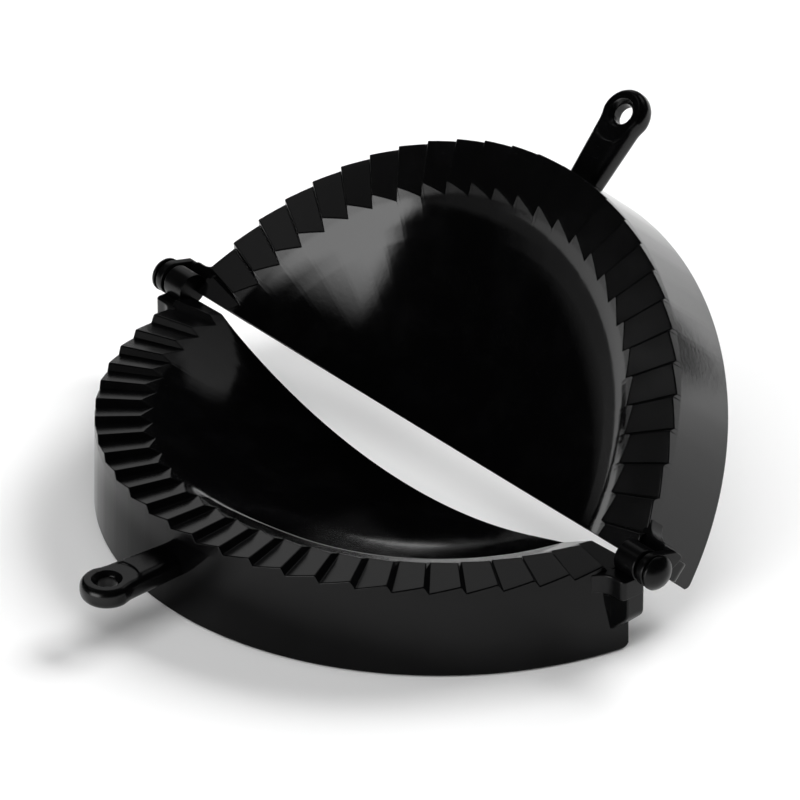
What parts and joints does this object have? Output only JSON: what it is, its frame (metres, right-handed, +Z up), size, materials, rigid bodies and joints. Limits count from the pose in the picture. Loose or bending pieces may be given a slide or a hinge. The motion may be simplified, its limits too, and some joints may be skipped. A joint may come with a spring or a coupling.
{
  "type": "empanada press",
  "caption": "Hinged half-round hand press with two shallow dishes, a toothed crimping rim and a hang-hole handle tab on each half.",
  "frame": {"origin": "on the table, in the middle of the object's length and depth as it stands open", "axes": "+X along the hinge, -Y towards the lower handle, +Z up"},
  "size_m": [0.171, 0.1566, 0.0803],
  "materials": {
    "black_plastic": "glossy black moulded plastic"
  },
  "bodies": {
    "lower": {"lower_half": "black_plastic", "lower_handle": "black_plastic", "right_hinge_pin": "black_plastic", "left_hinge_pin": "black_plastic"},
    "upper": {"upper_half": "black_plastic", "upper_handle": "black_plastic"}
  },
  "joints": [
    {"name": "hinge", "type": "hinge", "parent": "lower", "child": "upper", "pos_m": [0, 0.00964, 0.0223], "axis": [1, 0, 0], "range_deg": [-47, 133]}
  ]
}
